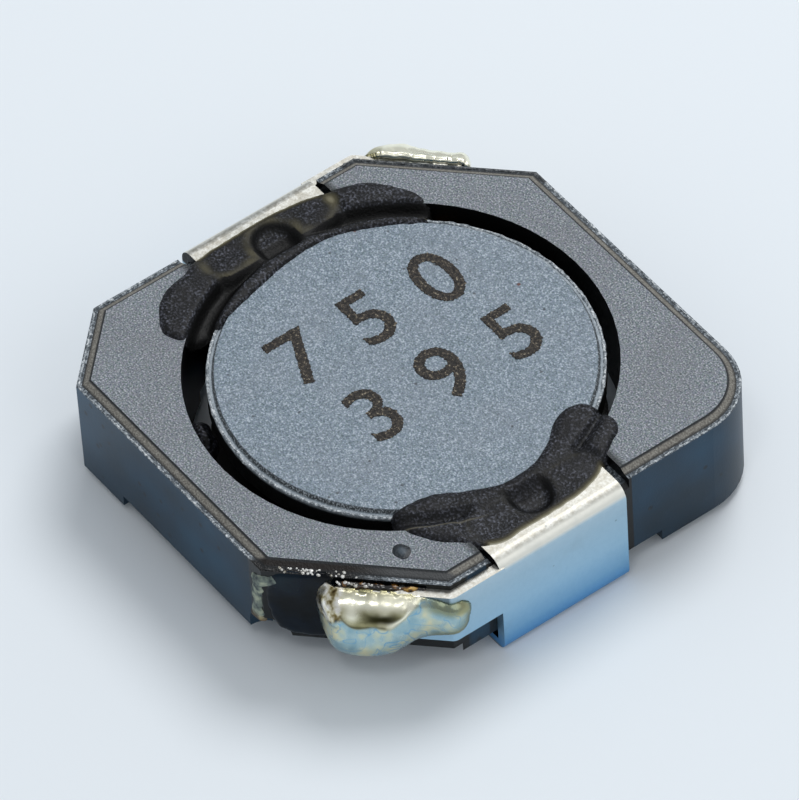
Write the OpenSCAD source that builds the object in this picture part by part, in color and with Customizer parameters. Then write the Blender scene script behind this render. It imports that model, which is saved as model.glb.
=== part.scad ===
// Shielded surface-mount power inductor.
// A wound ferrite drum sits in the bore of an eight-sided ferrite ring. Two folded terminals hook
// over the ring's top, carry the drum on their solder pads and reach round a corner with an ear,
// where each wire end is soldered. Beads of epoxy lock ring, drum and terminals together.
// Units are millimetres. The origin is the middle of the footprint, on the board. +X points out
// of the front terminal, +Z is up. The whole part is the same after half a turn about Z, apart
// from its marked corner, its plain cut corner and the shape of the hand-placed epoxy.

/* [Shield ring] */
// Width across the two terminal faces
ring_w = 9.7; // [9.4:0.05:10.6]
// Length across the two bare faces
ring_l = 9.96; // [9.4:0.05:10.6]
// Height from foot to top face
ring_h = 2.32; // [2.1:0.02:3.6]
// Gap all round between a centred drum and the bore
drum_gap = 0.36; // [0.32:0.01:0.5]
// Leg of the two 45 degree corners that carry the soldered wire ends
lead_corner = 2.48; // [2.3:0.02:2.7]
// Leg of the plain 45 degree corner
plain_corner = 1.4; // [0.8:0.1:2]
// Radius of the rounded corner that marks the part's orientation
mark_radius = 1.4; // [0.5:0.1:2]
// Width of the pressing land along the top edge
ring_land = 0.1; // [0.05:0.01:0.2]
// Width of the bevel between land and top face
ring_bevel = 0.17; // [0.08:0.01:0.25]
// Height of the top face above the land
bevel_h = 0.1; // [0.05:0.01:0.2]

/* [Shield underside] */
// Depth of the recess between the two corner feet
foot_h = 0.26; // [0.1:0.02:0.4]
// Reach of each foot along the bare face
foot_x = 2.68; // [1.8:0.05:3]
// Reach of each foot along the terminal face
foot_y = 2.65; // [1.8:0.05:3]
// Width of the relief under each lead corner, where the wire comes out
relief_w = 3.6; // [1:0.1:4]
// Depth of that relief above the recess
relief_h = 0.2; // [0.15:0.01:0.4]
// Width of the groove that the wire end comes out through, under each lead corner
groove_w = 0.5; // [0.4:0.05:0.8]
// Radius of the shell-shaped chip at the foot of one lead corner
chip_r = 0.5; // [0.2:0.05:0.6]
// Depth of the chip's middle below the relief
chip_drop = 0.06; // [0:0.02:0.2]

/* [Terminals] */
// Thickness of the tinned sheet
sheet_t = 0.2; // [0.15:0.01:0.3]
// Width of the terminal
terminal_w = 2.9; // [2.4:0.05:3.2]
// Sideways shift of the terminal towards its ear
terminal_shift = 0.05; // [0:0.01:0.1]
// Clearance between the terminal and the sides of its notch
notch_gap = 0.17; // [0.1:0.01:0.3]
// Depth of the terminal's upper face below the ring's top face
lip_drop = 0.06; // [0.02:0.01:0.12]
// Gap between the end of the upper lip and a centred drum
lip_gap = 0.06; // [0.06:0.01:0.2]
// Width of the slot between the lip's two prongs
slot_w = 0.95; // [0.6:0.05:1.2]
// Sheet left between the round end of the slot and the ring's face
slot_web = 0.3; // [0.25:0.01:0.4]
// Corner radius of the prongs
prong_r = 0.35; // [0.1:0.05:0.45]
// Outside radius of the upper fold
lip_fold_r = 0.3; // [0.3:0.01:0.4]
// Inside radius of the lower fold
pad_bend_r = 0.03; // [0.02:0.01:0.25]
// Reach of the solder pad under the part
pad_reach = 1.85; // [1.5:0.05:2.4]
// Height of the ear
ear_h = 1.2; // [0.9:0.02:1.4]
// Depth of the ear's upper edge below the ring's land
ear_drop = 0.12; // [0.02:0.01:0.2]
// Length of the ear along the lead corner
ear_l = 2.05; // [1.6:0.05:2.4]

/* [Drum core] */
// Diameter of both flanges
flange_d = 7.48; // [7.2:0.02:7.5]
// Thickness of each flange
flange_t = 0.55; // [0.45:0.01:0.6]
// Diameter of the post that the wire is wound on
post_d = 4; // [3:0.1:4.2]
// Depth of the drum's top face below the ring's top face
drum_drop = 0.02; // [0:0.01:0.06]
// Width of the land round the top flange
drum_land = 0.1; // [0.05:0.01:0.2]
// Width of the bevel inside that land
drum_bevel = 0.06; // [0.03:0.01:0.1]
// Bevel round the foot of the lower flange
foot_bevel = 0.08; // [0.02:0.01:0.15]
// Offset of the drum in the bore, along X
drum_x = 0.04; // [0:0.01:0.05]
// Offset of the drum in the bore, along Y
drum_y = 0.09; // [0:0.01:0.1]

/* [Winding] */
// Diameter of the enamelled wire
wire_d = 0.26; // [0.2:0.01:0.27]
// Turns side by side in a layer
layer_turns = 4; // [2:1:4]
// Layers on top of each other
layers = 3; // [1:1:4]

/* [Solder] */
// How far the joint stands out from the ring's corner face
solder_bulge = 0.56; // [0.5:0.01:0.7]
// Height of the joint's lowest point above the board
solder_low = 0.48; // [0.4:0.02:0.6]
// Radius of the joint's rounded edges
solder_r = 0.36; // [0.3:0.01:0.4]
// Distance from the ring's corner to the joint's near end, where it thins out on the ear
solder_near = 0.4; // [0.3:0.05:0.6]
// Distance from the ring's corner to the middle of the joint's blunt far end
solder_far = 2.02; // [1.8:0.02:2.1]
// Depth of the joint's upper edge below the ear's
solder_drop = 0.04; // [0.02:0.01:0.2]

/* [Epoxy] */
// Width of the bead across the gap
bead_w = 1.1; // [0.8:0.05:1.2]
// Height of the bead above the ring's top face
bead_h = 0.1; // [0.05:0.01:0.14]
// Angle that the bead covers on the ear's side of the terminal
bead_near = 27; // [20:1:35]
// Angle that the bead covers on the other side
bead_far = 25; // [20:1:35]
// Radius of curvature of the lobe at each end of the bead
lobe_r = 0.9; // [0.6:0.05:1.1]
// Height of the lobes above the ring's top face
lobe_h = 0.075; // [0.05:0.005:0.1]
// Radius of the blob low in the gap
blob_r = 0.45; // [0.3:0.05:0.6]
// Depth of the blob's middle below the drum's top face
blob_drop = 0.9; // [0.6:0.05:1.1]
// Angle of the blob round the bore, from the front terminal
blob_angle = -111; // [-130:1:-90]
// Radius of the small stray drop
drop_r = 0.21; // [0.1:0.01:0.3]
// Distance from the bore's edge to the middle of the drop
drop_gap = 0.49; // [0.35:0.01:0.55]
// Angle of the drop round the bore, from the front terminal
drop_angle = -36.5; // [-50:0.5:-30]

/* [Hidden] */
$fn = 64;
// A length that reaches past any part, for cutting tools
far = 20;
// Thickness of the slabs that a hull is stretched between
skin = 0.001;
// How far a piece reaches into its neighbour before it is cut back or joined
overlap = 0.1;
// Spheres of a solder joint have this many sides
solder_sides = 20;

// Heights above the board
foot_z = sheet_t;
top_z = foot_z + ring_h;
land_z = top_z - bevel_h;
lip_z = top_z - lip_drop;
notch_z = lip_z - sheet_t;
drum_z = top_z - drum_drop;
ear_z = land_z - ear_drop;
recess_z = foot_z + foot_h;
relief_z = recess_z + relief_h;
ear_low_z = ear_z - ear_h;

// Bore that takes the drum
bore_d = flange_d + 2 * drum_gap;

// Terminal, at the front
face_x = ring_w / 2;
lip_x = flange_d / 2 + lip_gap;
out_x = face_x + sheet_t;
pad_fold_r = sheet_t + pad_bend_r;
terminal_y0 = -terminal_w / 2 - terminal_shift;
terminal_y1 = terminal_w / 2 - terminal_shift;
corner_y = -ring_l / 2 + lead_corner;

// Distance of a lead corner's face from the Z axis
corner_d = (ring_w / 2 + ring_l / 2 - lead_corner) / sqrt(2);

// Wire: the middle of the gap between flange and bore on the 45 degree line, for each lead
drum_shift = (drum_x - drum_y) / sqrt(2);
gap_front = (bore_d / 2 + flange_d / 2 + drum_shift) / 2;
gap_back = (bore_d / 2 + flange_d / 2 - drum_shift) / 2;
window_z = foot_z + flange_t;
window_h = drum_z - foot_z - 2 * flange_t;
turn_clearance = 0.01;
turn_r0 = post_d / 2 + turn_clearance + wire_d / 2;
turn_z0 = window_z + (window_h - (layer_turns - 1) * wire_d) / 2;
lead_r = turn_r0 + (layers - 1) * wire_d;
lead_clearance = 0.1;
lead_under_z = ear_low_z - lead_clearance - wire_d / 2;
lead_up_d = corner_d + sheet_t + wire_d / 2 + turn_clearance;
lead_end_z = ear_z - ear_h / 2;

// Epoxy bead: a round section whose top stands bead_h above the ring
bead_d = (bore_d + flange_d) / 4;
bead_r = (pow(bead_w / 2, 2) + pow(bead_h, 2)) / (2 * bead_h);
bead_z = top_z + bead_h - bead_r;
lobe_shift = 0.1;
fill_inset = 0.02;

// --- Shield ring ---------------------------------------------------------------------------

// Plan of the ring, drawn in by inset on every side
module ring_plan(inset = 0) {
    difference() {
        square([ring_w - 2 * inset, ring_l - 2 * inset], center = true);
        corner_cut(1, -1, lead_corner, inset);
        corner_cut(-1, 1, lead_corner, inset);
        corner_cut(-1, -1, plain_corner, inset);
        translate([ring_w / 2 - mark_radius, ring_l / 2 - mark_radius])
            difference() {
                square(mark_radius + 1);
                circle(r = mark_radius - inset);
            }
    }
}

// What a 45 degree corner with this leg takes off; sx and sy say which corner
module corner_cut(sx, sy, leg, inset) {
    translate([sx * (ring_w - leg) / 2, sy * (ring_l - leg) / 2])
        rotate(atan2(sy, sx))
            translate([-inset, -far / 2])
                square(far);
}

// Pressed blank: straight walls up to the land, then the bevelled top
module ring_blank() {
    translate([0, 0, foot_z])
        linear_extrude(land_z - foot_z)
            ring_plan();
    hull() {
        translate([0, 0, land_z])
            linear_extrude(skin)
                ring_plan(ring_land);
        translate([0, 0, top_z - skin])
            linear_extrude(skin)
                ring_plan(ring_land + ring_bevel);
    }
}

// Notch in the top for a terminal's lip, with its outer edge eased to clear the fold
module lip_notch() {
    y0 = terminal_y0 - notch_gap + terminal_shift;
    y1 = terminal_y1 + notch_gap + terminal_shift;
    ease = lip_fold_r - sheet_t;
    translate([0, y0, notch_z])
        cube([far, y1 - y0, far]);
    translate([0, y1, 0])
        rotate([90, 0, 0])
            linear_extrude(y1 - y0)
                polygon([[face_x - ease, notch_z], [far, notch_z], [far, notch_z - ease],
                         [face_x, notch_z - ease]]);
}

// Everything the underside loses between its two corner feet
module underside_recess() {
    translate([0, 0, -1])
        linear_extrude(recess_z + 1)
            difference() {
                square(far, center = true);
                for (turn = [0, 180])
                    rotate(turn)
                        translate([-ring_w / 2 - 1, -ring_l / 2 - 1])
                            square([foot_x + 1, foot_y + 1]);
            }
}

// Relief under the front lead corner, and the groove in it that the wire end comes out through,
// which is as high as the ear's lower edge
module lead_relief() {
    rotate(-45) {
        translate([0, -relief_w / 2, -1])
            cube([far, relief_w, relief_z + 1]);
        translate([0, -groove_w / 2, -1])
            cube([far, groove_w, ear_low_z + 1]);
    }
}

module shield_core() {
    color("#5d6066")
        difference() {
            ring_blank();
            translate([0, 0, -1])
                cylinder(d = bore_d, h = far);
            for (turn = [0, 180])
                rotate(turn) {
                    lip_notch();
                    lead_relief();
                }
            underside_recess();
            translate([ring_w / 2 - lead_corner, -ring_l / 2, relief_z - chip_drop])
                sphere(r = chip_r);
        }
}

// --- Drum core -----------------------------------------------------------------------------

module drum_core() {
    r = flange_d / 2;
    color("#73787f")
        translate([drum_x, drum_y, 0])
            rotate_extrude()
                polygon([[0, foot_z], [r - foot_bevel, foot_z], [r, foot_z + foot_bevel],
                         [r, window_z], [post_d / 2, window_z],
                         [post_d / 2, window_z + window_h], [r, window_z + window_h],
                         [r, drum_z - bevel_h], [r - drum_land, drum_z - bevel_h],
                         [r - drum_land - drum_bevel, drum_z], [0, drum_z]]);
}

// --- Winding -------------------------------------------------------------------------------

// Section of the coil: round turns side by side, each layer on the one below
module coil_section() {
    for (layer = [0 : layers - 1])
        for (turn = [0 : layer_turns - 1])
            translate([turn_r0 + layer * wire_d, turn_z0 + turn * wire_d])
                circle(d = wire_d * 1.02);
    translate([turn_r0, turn_z0])
        square([(layers - 1) * wire_d, (layer_turns - 1) * wire_d]);
}

// Round wire along a path. Each bend is a ball a little thicker than the wire, as wire swells
// where it is bent sharply.
module wire_run(path) {
    for (i = [1 : len(path) - 2])
        translate(path[i])
            sphere(d = wire_d * 1.04);
    for (i = [0 : len(path) - 2]) {
        step = path[i + 1] - path[i];
        length = norm(step);
        translate(path[i])
            rotate([0, acos(step.z / length), atan2(step.y, step.x)])
                cylinder(d = wire_d, h = length);
    }
}

// A wire end: it leaves the coil along a tangent, drops in the gap between coil and bore, comes out
// through the ring's groove below the ear and rises outside it. side is 1 at the front and -1 at
// the back. The path's own X axis is the 45 degree line through the lead corner.
function lead_path(side) =
    let (gap = side > 0 ? gap_front : gap_back,
         middle = side * [drum_x - drum_y, drum_x + drum_y] / sqrt(2),
         to_gap = [gap, 0] - middle,
         turn = atan2(to_gap.y, to_gap.x) - acos(lead_r / norm(to_gap)),
         start = middle + lead_r * [cos(turn), sin(turn)],
         z = side > 0 ? turn_z0 : turn_z0 + (layer_turns - 1) * wire_d)
    [[start.x, start.y, z],
     [gap, 0, z],
     [gap, 0, lead_under_z],
     [lead_up_d, 0, lead_under_z],
     [lead_up_d, 0, lead_end_z]];

module lead(side) {
    rotate(side > 0 ? -45 : 135)
        wire_run(lead_path(side));
}

module winding() {
    color("#b5652c") {
        translate([drum_x, drum_y, 0])
            rotate_extrude()
                coil_section();
        lead(1);
        lead(-1);
    }
}

// --- Terminals -----------------------------------------------------------------------------

// A quarter-turn fold in the sheet, seen along its bend
module fold(r) {
    intersection() {
        difference() {
            circle(r = r);
            circle(r = r - sheet_t);
        }
        square(r + 1);
    }
}

// Section of the strip: upper lip, face and solder pad, drawn with Z upwards
module strip_section() {
    translate([out_x - lip_fold_r, lip_z - lip_fold_r])
        fold(lip_fold_r);
    translate([out_x - pad_fold_r, pad_fold_r])
        mirror([0, 1])
            fold(pad_fold_r);
    translate([lip_x, notch_z])
        square([out_x - lip_fold_r - lip_x, sheet_t]);
    translate([face_x, pad_fold_r])
        square([sheet_t, lip_z - lip_fold_r - pad_fold_r]);
    translate([face_x - pad_reach, 0])
        square([out_x - pad_fold_r - face_x + pad_reach, sheet_t]);
}

// What is cut from the lip: the slot between its prongs and their outer corners
module lip_cuts() {
    slot_x = face_x - slot_web - slot_w / 2;
    mid_y = -terminal_shift;
    translate([0, 0, notch_z - overlap])
        linear_extrude(sheet_t + 2 * overlap) {
            translate([slot_x, mid_y])
                circle(d = slot_w);
            translate([0, mid_y - slot_w / 2])
                square([slot_x, slot_w]);
            for (side = [-1, 1])
                translate([lip_x + prong_r, mid_y + side * (terminal_w / 2 - prong_r)])
                    mirror([0, side < 0 ? 1 : 0])
                        difference() {
                            translate([-prong_r - 1, 0])
                                square([prong_r + 1, prong_r + 1]);
                            circle(r = prong_r);
                        }
        }
}

// Ear in plan: on along the face, round the ring's corner and along the lead corner
module ear_plan() {
    start = terminal_y0 + overlap - corner_y;
    bend = [for (a = [0 : -7.5 : -45]) sheet_t * [cos(a), sin(a)]];
    along = ear_l * [cos(-135), sin(-135)];
    translate([face_x, corner_y])
        polygon([[0, start], [sheet_t, start], each bend, bend[len(bend) - 1] + along, along, [0, 0]]);
}

module terminal() {
    difference() {
        translate([0, terminal_y1, 0])
            rotate([90, 0, 0])
                linear_extrude(terminal_w)
                    strip_section();
        lip_cuts();
    }
    translate([0, 0, ear_low_z])
        linear_extrude(ear_h)
            ear_plan();
}

module terminal_front() {
    color("#c9d3d6")
        terminal();
}

module terminal_back() {
    color("#c9d3d6")
        rotate(180)
            terminal();
}

// --- Solder joints -------------------------------------------------------------------------

// A point on the lead corner: u runs from the terminal's end of its face, v stands out from it
module at_corner(u, v, z) {
    translate([face_x, corner_y, z])
        rotate(-135)
            translate([u, v, 0])
                children();
}

// Joint between wire end and ear: a wetted mass, blunt and full round the wire end, lowest
// under the wire, that thins out on the ear towards the terminal's face
module solder_joint(side) {
    v = solder_bulge - solder_r;
    high_z = ear_z - solder_drop - solder_r;
    low_z = solder_low + solder_r;
    difference() {
        hull() {
            joint_ball(solder_far, v, high_z, solder_r);
            joint_ball(solder_far, v, low_z + 0.34, solder_r);
            joint_ball(solder_far - 0.57, v, low_z, solder_r);
            joint_ball(solder_near + 0.4, v, low_z + 0.2, solder_r);
            joint_ball(solder_near + 0.8, v, high_z + 0.06, solder_r);
            joint_ball(solder_near, sheet_t, high_z + solder_r / 4, solder_r / 2);
        }
        at_corner(-far / 2, -far, -1)
            cube(far);
        terminal();
        rotate(side > 0 ? 0 : 180)
            lead(side);
    }
}

module joint_ball(u, v, z, r) {
    at_corner(u, v, z)
        sphere(r = r, $fn = solder_sides);
}

module solder_front() {
    color("#d8d5b8")
        solder_joint(1);
}

module solder_back() {
    color("#d8d5b8")
        rotate(180)
            solder_joint(-1);
}

// --- Epoxy ---------------------------------------------------------------------------------

// What the ring and a drum cut from the bead; turned says that the bead is about to be turned
// round to the back, where the drum's offset runs the other way
module bead_seats(turned) {
    side = turned ? -1 : 1;
    r = flange_d / 2 - drum_land;
    difference() {
        translate([ring_w / 8, -ring_l / 2, 0])
            cube([ring_w / 2, ring_l, top_z]);
        translate([0, 0, -1])
            cylinder(d = bore_d, h = far);
        lip_notch();
    }
    translate([side * drum_x, side * drum_y, 0])
        rotate_extrude()
            polygon([[0, 0], [flange_d / 2, 0], [flange_d / 2, drum_z - bevel_h],
                     [r, drum_z - bevel_h], [r - drum_bevel, drum_z], [0, drum_z]]);
}

// Low round lobe at an end of the bead, further out on the ring
module bead_lobe(angle) {
    rotate(angle)
        translate([bead_d + lobe_shift, 0, top_z + lobe_h - lobe_r])
            sphere(r = lobe_r);
}

// Bead at the front: a rounded band over gap, lip and drum edge, with a lobe at each end, and
// what has run down between lip and notch, all trimmed to the parts that it lies against
module adhesive_bead(turned) {
    band_z = drum_z - flange_t;
    difference() {
        union() {
            intersection() {
                union() {
                    rotate(-bead_near)
                        rotate_extrude(angle = bead_near + bead_far)
                            translate([bead_d, bead_z])
                                circle(r = bead_r);
                    bead_lobe(-bead_near);
                    bead_lobe(bead_far);
                }
                translate([ring_w / 10, -ring_l / 2, band_z])
                    cube([ring_w / 2, ring_l, flange_t + 2 * bead_h + drum_drop]);
            }
            translate([lip_x, -terminal_w, notch_z - overlap])
                cube([face_x - lip_x - fill_inset, 2 * terminal_w, sheet_t + overlap - fill_inset]);
        }
        bead_seats(turned);
        terminal();
    }
}

module adhesive_front() {
    color("#2b2a2d")
        adhesive_bead(false);
}

module adhesive_back() {
    color("#2b2a2d")
        rotate(180)
            adhesive_bead(true);
}

// Blob of epoxy that has run down the gap
module adhesive_gap() {
    color("#3a383c")
        difference() {
            rotate(blob_angle)
                translate([bead_d, 0, drum_z - blob_drop])
                    sphere(r = blob_r);
            difference() {
                translate([-far / 2, -far / 2, 0])
                    cube([far, far, top_z]);
                translate([0, 0, -1])
                    cylinder(d = bore_d, h = far);
            }
            translate([drum_x, drum_y, 0])
                cylinder(d = flange_d, h = top_z);
        }
}

// Stray drop on the ring's top face
module adhesive_drop() {
    height = drop_r / 3;
    r = (pow(drop_r, 2) + pow(height, 2)) / (2 * height);
    color("#3a383c")
        intersection() {
            rotate(drop_angle)
                translate([bore_d / 2 + drop_gap, 0, top_z + height - r])
                    sphere(r = r);
            translate([0, -far / 2, top_z])
                cube([far, far, 1]);
        }
}

shield_core();
drum_core();
winding();
terminal_front();
terminal_back();
solder_front();
solder_back();
adhesive_front();
adhesive_back();
adhesive_gap();
adhesive_drop();
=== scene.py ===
import math
import random

import bpy
import numpy as np
from mathutils import Matrix, Vector, noise


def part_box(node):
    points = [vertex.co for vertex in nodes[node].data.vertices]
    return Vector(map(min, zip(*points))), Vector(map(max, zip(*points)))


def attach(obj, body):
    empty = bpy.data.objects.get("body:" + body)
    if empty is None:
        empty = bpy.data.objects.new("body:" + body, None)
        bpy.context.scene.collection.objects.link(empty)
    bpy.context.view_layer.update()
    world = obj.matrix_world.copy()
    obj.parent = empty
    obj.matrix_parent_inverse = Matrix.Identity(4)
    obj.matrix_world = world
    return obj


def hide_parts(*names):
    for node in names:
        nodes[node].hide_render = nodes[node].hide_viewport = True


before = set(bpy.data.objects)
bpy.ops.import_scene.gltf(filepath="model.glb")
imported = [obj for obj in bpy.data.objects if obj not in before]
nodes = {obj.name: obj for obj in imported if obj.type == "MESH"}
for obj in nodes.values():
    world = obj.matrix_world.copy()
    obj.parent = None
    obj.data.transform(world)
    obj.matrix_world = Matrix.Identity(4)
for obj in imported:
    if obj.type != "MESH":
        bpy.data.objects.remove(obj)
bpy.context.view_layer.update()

scene = bpy.context.scene

# --- Shield ring -----------------------------------------------------------------------------
# An eight-sided ring of nickel-zinc ferrite, pressed from powder and sintered. The top keeps the
# grain of the powder, the walls are smooth from the die, and the bore's walls are painted
# near-black as shade. It is the imported solid itself, with its finish.

MM = 0.001
ring_low, ring_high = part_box("shield_core")
ring_x = ring_high.x
ring_y = ring_high.y
ring_top = ring_high.z
ring_foot = ring_low.z
notch_half = 1.66 * MM
bore_radius = 4.10 * MM
land_z = ring_top - 0.10 * MM
lead_corner = 2.48 * MM
plain_corner = 1.4 * MM
mark_radius = 1.4 * MM
lead_line = ring_x + ring_y - lead_corner     # x - y anywhere on the front lead corner's face
lead_start = ring_x + lead_corner - ring_y    # x + y at that face's end beside the terminal


def linear(code):
    """An sRGB hex colour as linear RGBA."""
    parts = [int(code[i:i + 2], 16) / 255 for i in (1, 3, 5)]
    return [c / 12.92 if c <= 0.04045 else ((c + 0.055) / 1.055) ** 2.4 for c in parts] + [1]


def add(tree, kind, inputs=None, stops=(), **settings):
    """Adds a shader node and returns its first output. Inputs are values, links or sRGB codes by
    name or number, and stops are a ramp's positions and sRGB codes."""
    node = tree.nodes.new("ShaderNode" + kind)
    for name, value in settings.items():
        setattr(node, name, value)
    for key, value in (inputs or {}).items():
        socket = node.inputs[key] if isinstance(key, int) else next(
            s for s in node.inputs if s.enabled and s.name == key)
        if isinstance(value, bpy.types.NodeSocket):
            tree.links.new(value, socket)
        else:
            socket.default_value = linear(value) if isinstance(value, str) else value
    for number, (position, code) in enumerate(stops):
        if number > 1:
            node.color_ramp.elements.new(position)
        node.color_ramp.elements[number].position = position
        node.color_ramp.elements[number].color = linear(code)
    return next(s for s in node.outputs if s.enabled)


def new_material(name, roughness, metallic=0.0, ior=1.5, coat=0.0):
    """A material; returns it, its node tree, its Principled shader and its Object coordinates."""
    material = bpy.data.materials.new(name)
    material.use_nodes = True
    tree = material.node_tree
    shader = tree.nodes["Principled BSDF"]
    shader.inputs["Roughness"].default_value = roughness
    shader.inputs["Metallic"].default_value = metallic
    shader.inputs["IOR"].default_value = ior
    shader.inputs["Coat Weight"].default_value = coat
    place = add(tree, "TexCoord").node.outputs["Object"]
    return material, tree, shader, place


def rosin_reach(tree, part):
    """Masks of the rosin left on the ring: over the front lead corner, where it also stands for painted
    shade on the walls, over the sooty end of it past the solder, and over the lead corner behind."""
    across = add(tree, "Math", {0: part["X"], 1: part["Y"]}, operation="SUBTRACT")
    along = add(tree, "Math", {0: part["X"], 1: part["Y"]}, operation="ADD")
    rosin_and_shade_band = add(tree, "MapRange", {"Value": across, "From Min": lead_line - 0.42 * MM,
                                   "From Max": lead_line - 0.32 * MM})
    past_solder = add(tree, "MapRange", {"Value": along, "From Min": lead_start - 1.5 * MM,
                                         "From Max": lead_start - 2.6 * MM})
    soot = add(tree, "Math", {0: past_solder, 1: rosin_and_shade_band}, operation="MULTIPLY")
    behind = add(tree, "MapRange", {"Value": across, "From Min": 0.42 * MM - lead_line,
                                    "From Max": 0.32 * MM - lead_line, "To Max": 0.75})
    return rosin_and_shade_band, soot, behind


def pressed_ferrite():
    # Sintered ferrite: a dark ceramic. Powder grains of about 0.02 mm glitter on the top, and are
    # drawn at 0.034 so that they show. The bevel is smooth and warm grey between two dark lines,
    # the land under it crumbles to bright grains, and the walls are dark grey with a few pits under a
    # painted blue reflection of the floor, with painted light towards the far end, painted shade near
    # the foot and in the bore, and near-black in the notch. The top is darker towards the notch's
    # edges. Rosin from soldering has browned the front lead corner and made it glossy, and painted
    # shade darkens that corner's walls with it.
    material, tree, shader, place = new_material("pressed_ferrite", roughness=0.5, ior=1.38)
    part = add(tree, "SeparateXYZ", {"Vector": place}).node.outputs
    facing = add(tree, "TexCoord").node.outputs["Normal"]
    upward = add(tree, "SeparateXYZ", {"Vector": facing}).node.outputs["Z"]
    aside = add(tree, "Math", {0: part["Y"]}, operation="ABSOLUTE")
    outward = add(tree, "Math", {0: part["X"]}, operation="ABSOLUTE")
    off_bore = add(tree, "MapRange", {"Value": outward, "From Min": 3.4 * MM, "From Max": 3.6 * MM})
    rosin_and_shade_band, soot, behind = rosin_reach(tree, part)
    powder = add(tree, "TexNoise", {"Vector": place, "Scale": 1 / (0.034 * MM), "Detail": 1.0})
    crest = add(tree, "TexNoise", {"Vector": place, "Scale": 1 / (0.06 * MM), "Detail": 3.0,
                                   "Roughness": 0.75})
    clouds = add(tree, "TexNoise", {"Vector": place, "Scale": 1 / (1.6 * MM), "Detail": 2.0})

    warm = add(tree, "MapRange", {"Value": clouds, "From Min": 0.4, "From Max": 0.7, "To Max": 0.25})
    # Darker towards the notch's edges.
    dark_by_notch = add(tree, "MapRange", {"Value": aside, "From Min": notch_half + 0.15 * MM,
                                   "From Max": notch_half, "To Max": 0.8})
    dark_by_notch = add(tree, "Math", {0: dark_by_notch, 1: off_bore}, operation="MULTIPLY")
    top = add(tree, "ValToRGB", {"Fac": powder},
              [(0.26, "#3c4247"), (0.42, "#636b72"), (0.56, "#787f87"), (0.72, "#b0b8bf")])
    for mask, stain in ((0.09, powder.node.outputs["Color"]), (warm, "#6d6a6e"), (dark_by_notch, "#1c1c1a")):
        top = add(tree, "Mix", {"Factor": mask, "A": top, "B": stain}, data_type="RGBA")

    land = add(tree, "ValToRGB", {"Fac": crest}, [(0.38, "#2f353a"), (0.52, "#596168"), (0.66, "#a6adb3")])
    for mask, stain in ((soot, "#07080a"), (behind, "#1a1d20")):
        land = add(tree, "Mix", {"Factor": mask, "A": land, "B": stain}, data_type="RGBA")

    rise = add(tree, "MapRange", {"Value": part["Z"], "From Min": land_z, "From Max": ring_top})
    lines = add(tree, "ValToRGB", {"Fac": rise}, [(0.0, "#4a4a4a"), (0.12, "#8a8a8a"), (0.3, "#ffffff"),
                                                  (0.68, "#ffffff"), (0.84, "#000000"), (1.0, "#202020")])
    bevel = add(tree, "ValToRGB", {"Fac": powder}, [(0.3, "#5f5c56"), (0.55, "#7b7871"), (0.75, "#918f88")])
    for mask, stain in ((rosin_and_shade_band, "#4b4c4d"), (soot, "#1b1613")):
        bevel = add(tree, "Mix", {"Factor": mask, "A": bevel, "B": stain}, data_type="RGBA")
    bevel = add(tree, "Mix", {"Factor": lines, "A": "#212427", "B": bevel}, data_type="RGBA")

    low = add(tree, "MapRange", {"Value": part["Z"], "From Min": land_z + 0.03 * MM,
                                 "From Max": land_z + 0.01 * MM})
    sloped = add(tree, "MapRange", {"Value": upward, "From Min": 0.96, "From Max": 0.9})
    for mask, layer in ((low, land), (sloped, bevel)):
        top = add(tree, "Mix", {"Factor": mask, "A": top, "B": layer}, data_type="RGBA")

    # Painted light towards the far end, and painted shade near the foot.
    far_end = add(tree, "MapRange", {"Value": part["X"], "From Min": -1.5 * MM, "From Max": -4.6 * MM,
                                     "To Max": 0.8})
    under = add(tree, "MapRange", {"Value": part["Z"], "From Min": 1.5 * MM, "From Max": ring_foot,
                                   "To Max": 0.5})
    spots = add(tree, "TexVoronoi", {"Vector": place, "Scale": 1 / (0.42 * MM)})
    pits = add(tree, "MapRange", {"Value": spots, "From Min": 0.16, "From Max": 0.1, "To Max": 0.7})
    flecks = add(tree, "MapRange", {"Value": crest, "From Min": 0.69, "From Max": 0.74, "To Max": 0.6})
    # Painted shade: the bore's walls are near-black.
    plan_place = add(tree, "VectorMath", {0: place, 1: (1, 1, 0)}, operation="MULTIPLY")
    radius = add(tree, "VectorMath", {0: plan_place}, operation="LENGTH")
    deep = add(tree, "MapRange", {"Value": radius, "From Min": bore_radius + 0.06 * MM,
                                  "From Max": bore_radius + 0.03 * MM})
    # The notch's walls are near-black.
    in_notch = add(tree, "MapRange", {"Value": aside, "From Min": notch_half + 0.03 * MM,
                                      "From Max": notch_half + 0.01 * MM})
    in_notch = add(tree, "Math", {0: in_notch, 1: off_bore}, operation="MULTIPLY")
    # The walls' blue is a painted reflection of the floor over the ferrite's dark grey; on the front lead
    # corner rosin and painted shade make them near-black.
    wall = add(tree, "ValToRGB", {"Fac": clouds}, [(0.3, "#052536"), (0.5, "#083148"), (0.7, "#0e3f59")])
    for mask, stain in ((far_end, "#2b4c64"), (under, "#101a20"), (pits, "#0a1014"), (flecks, "#74838c"),
                        (rosin_and_shade_band, "#05080a"), (deep, "#020303"), (in_notch, "#050606")):
        wall = add(tree, "Mix", {"Factor": mask, "A": wall, "B": stain}, data_type="RGBA")

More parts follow.
